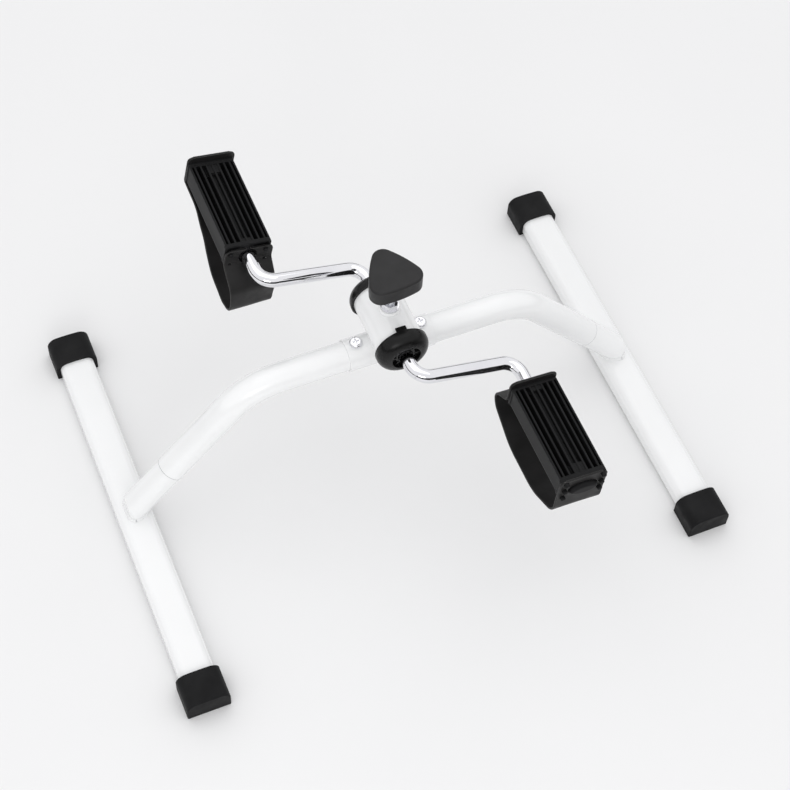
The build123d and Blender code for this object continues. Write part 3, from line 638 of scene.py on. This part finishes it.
def ribbed_ring(name, points, radius, ripple, material):
    """A closed round bead along points in mm. The ripple swells and thins it, as a weld puddle does."""
    count = len(points)
    builder = bmesh.new()
    rings = []
    for index, point in enumerate(points):
        ahead = (points[(index + 1) % count] - points[index - 1]).normalized()
        side = ahead.cross(Vector((0, 0, 1))).normalized()
        up = side.cross(ahead)
        puddle = math.sin(2.1 * index) + 0.6 * math.sin(0.9 * index + 1)
        swell = radius * (1 + ripple * puddle)
        ring = []
        for step in range(BEAD_SIDES):
            angle = math.tau * step / BEAD_SIDES
            ring.append(point + (side * math.cos(angle) + up * math.sin(angle)) * swell)
        rings.append(ring)
    skin(builder, rings, True)
    builder.transform(Matrix.Scale(MM, 4))
    piece = new_piece(name, builder, material, BEAD_SMOOTH_ANGLE)
    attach(piece, "stand")


ARM_HEIGHT = 154.0
ARM_BEND_X = 123.5
LEG_FOOT = (237.0, 20.0)  # X and Z where the right leg's axis meets its crossbar
STUB_RADIUS = 12.3
FOOT_END_X = 240.0
FOOT_END_HALF_WIDTH = 12.8
FOOT_END_CORNER = 7.0
FOOT_BEAD_RADIUS = 1.8
FOOT_BEAD_POINTS = 110
RAY_BACK = 60.0  # how far up the stub the rays start
RAY_LIFT = 40.0  # and above the bar for the upright ones


def leg_directions():
    """Down the right leg's axis, and square to it in the same upright plane."""
    down = Vector((LEG_FOOT[0] - ARM_BEND_X, 0, LEG_FOOT[1] - ARM_HEIGHT)).normalized()
    return down, Vector((-down.z, 0, down.x))


def foot_end_limit(offset):
    """How far out the stub's rounded end reaches, at an offset from its middle plane."""
    past = abs(offset) - (FOOT_END_HALF_WIDTH - FOOT_END_CORNER)
    if past <= 0:
        return FOOT_END_X
    return FOOT_END_X - FOOT_END_CORNER + math.sqrt(max(FOOT_END_CORNER**2 - past**2, 0.0))


def surface_below(node, start, direction):
    """Where a ray in mm first meets a CAD node, in mm."""
    target = NODES[node]
    inverse = target.matrix_world.inverted()
    origin = inverse @ (start * MM)
    heading = (inverse.to_3x3() @ direction).normalized()
    hit, place, _normal, _index = target.ray_cast(origin, heading)
    return target.matrix_world @ place / MM if hit else None


def foot_weld(side_name, side, material):
    """The bead where a stub stands on its crossbar."""
    down, across = leg_directions()
    middle = Vector((LEG_FOOT[0], 0, LEG_FOOT[1])) - down * RAY_BACK
    points = []
    for index in range(FOOT_BEAD_POINTS):
        angle = math.tau * index / FOOT_BEAD_POINTS
        rim = (across * math.cos(angle) + Vector((0, 1, 0)) * math.sin(angle)) * STUB_RADIUS
        start = middle + rim
        heading = down.copy()
        reach = (start.z - LEG_FOOT[1]) / -down.z
        limit = foot_end_limit(rim.y)
        if start.x + down.x * reach > limit:
            start = Vector((limit, rim.y, LEG_FOOT[1] + RAY_LIFT))
            heading = Vector((0, 0, -1))
        start.x *= side
        heading.x *= side
        hit = surface_below(f"{side_name}_crossbar", start, heading)
        if hit is not None:
            points.append(hit)
    ribbed_ring(f"{side_name}_foot_weld", points, FOOT_BEAD_RADIUS, WELD_RIPPLE, material)


SEAM_X = 197.0
SEAM_RADIUS = 0.3  # of the thin line itself
SEAM_POINTS = 72


def arm_seam(side_name, side, material):
    """A thin dark ring where an arm ends on its stub: a painted shadow line at the step."""
    down, across = leg_directions()
    middle = Vector((ARM_BEND_X, 0, ARM_HEIGHT)) + down * ((SEAM_X - ARM_BEND_X) / down.x)
    points = []
    for index in range(SEAM_POINTS):
        angle = math.tau * index / SEAM_POINTS
        rim = across * math.cos(angle) + Vector((0, 1, 0)) * math.sin(angle)
        point = middle + rim * (STUB_RADIUS + SEAM_RADIUS / 2)
        point.x *= side
        points.append(point)
    ribbed_ring(f"{side_name}_arm_seam", points, SEAM_RADIUS, 0.0, material)


CRANK_HEIGHT = 184.0
SHELL_RADIUS = 20.5
SLEEVE_RADIUS = 14.0
HUB_BEAD_RADIUS = 0.9
HUB_BEAD_POINTS = 120


def hub_weld(material):
    """The bead round the saddle where the cross sleeve meets the hub shell."""
    points = []
    for side in (1, -1):
        for index in range(HUB_BEAD_POINTS // 2):
            angle = side * math.pi * (index / (HUB_BEAD_POINTS // 2 - 1) - 0.5)
            offset = SLEEVE_RADIUS * math.sin(angle)
            height = ARM_HEIGHT + SLEEVE_RADIUS * math.cos(angle)
            drop = CRANK_HEIGHT - height
            if abs(drop) < SHELL_RADIUS:
                points.append(Vector((side * math.sqrt(SHELL_RADIUS**2 - drop**2), offset, height)))
    ribbed_ring("hub_weld", points, HUB_BEAD_RADIUS, WELD_RIPPLE, material)


def make_pieces(materials):
    vinyl = materials["strap_vinyl"]
    # Dark grey for the seam rings, which paint the shadow line at each arm's step.
    seam_shade = moulded(
        "seam_painted_shadow", (0.24, 0.25, 0.26), (0.30, 0.31, 0.32), (0.5, 0.6), 900, 0.02, (0.34, 0.35, 0.36)
    )
    make_strap("front", FRONT_LINE, FRONT_RADII, 0.0, FRONT_STRAP_ASIDE, vinyl)
    make_strap("rear", REAR_LINE, REAR_RADII, 1.0, REAR_STRAP_ASIDE, vinyl)
    make_screw(materials["zinc_steel"])
    for side_name, side in (("left", -1), ("right", 1)):
        foot_weld(side_name, side, materials["white_paint"])
        arm_seam(side_name, side, seam_shade)
    hub_weld(materials["white_paint"])


def make_flag(name, turn, distance, low, high, material):
    """A black card beside the object that only reflections show, for the dark bands in the plating."""
    builder = bmesh.new()
    half = FLAG_HALF_WIDTH
    corners = ((-half, low), (half, low), (half, high), (-half, high))
    builder.faces.new([builder.verts.new((x, -distance, z)) for x, z in corners])
    builder.transform(Matrix.Rotation(math.radians(turn), 4, "Z"))
    mesh = bpy.data.meshes.new(name)
    builder.to_mesh(mesh)
    builder.free()
    mesh.materials.append(material)
    flag = bpy.data.objects.new(name, mesh)
    flag.visible_camera = False
    flag.visible_diffuse = False
    flag.visible_shadow = False
    bpy.context.scene.collection.objects.link(flag)


def make_flags():
    """A tall card in front and a low one on each other side."""
    graph = Graph("flag_card")
    tone = graph.blend(graph.noise(20), (0.004, 0.004, 0.004), (0.006, 0.006, 0.006))
    rough = graph.spread(graph.noise(40), 0.85, 0.95)
    card = graph.finish(tone, rough, graph.bump(graph.noise(300), 0.03 * MM, 0.2))
    make_flag("front_flag", 0, 1.15, 0.01, 0.58, card)
    for name, turn in (("right_flag", 90), ("back_flag", 180), ("left_flag", 270)):
        make_flag(name, turn, 1.9, 0.05, 0.42, card)


make_camera()
make_lights()
make_floor()
make_flags()
MATERIALS = make_materials()
dress_nodes(MATERIALS)
make_pieces(MATERIALS)
